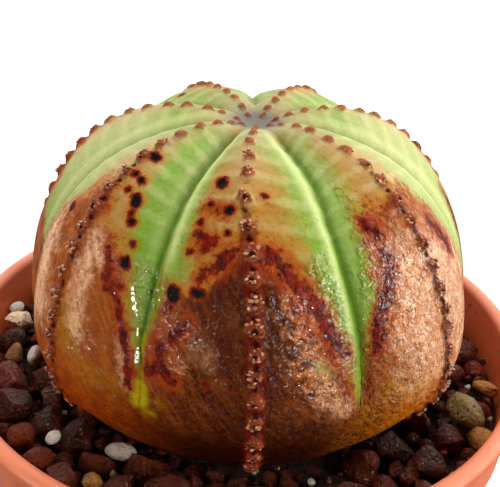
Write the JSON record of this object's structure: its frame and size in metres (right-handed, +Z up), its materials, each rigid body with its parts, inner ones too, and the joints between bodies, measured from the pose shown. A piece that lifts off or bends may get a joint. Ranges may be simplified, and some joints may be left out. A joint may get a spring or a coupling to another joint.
{
  "type": "potted baseball plant",
  "caption": "Round ribbed succulent with rows of knobs down its crests, standing in loose grit in a small tapered pot with a bead rim.",
  "frame": {"origin": "centre of the pot's flat base, on the surface that the pot stands on", "axes": "+Z up along the pot's axis; -Y towards the front, which the picture shows; +X to the right"},
  "size_m": [0.085, 0.085, 0.1103],
  "materials": {
    "pot_plastic": "matte",
    "lava_grit": "matte",
    "plant_skin": "satin"
  },
  "bodies": {
    "root": {"pot": "pot_plastic", "substrate": "lava_grit", "plant": "plant_skin"}
  },
  "joints": []
}
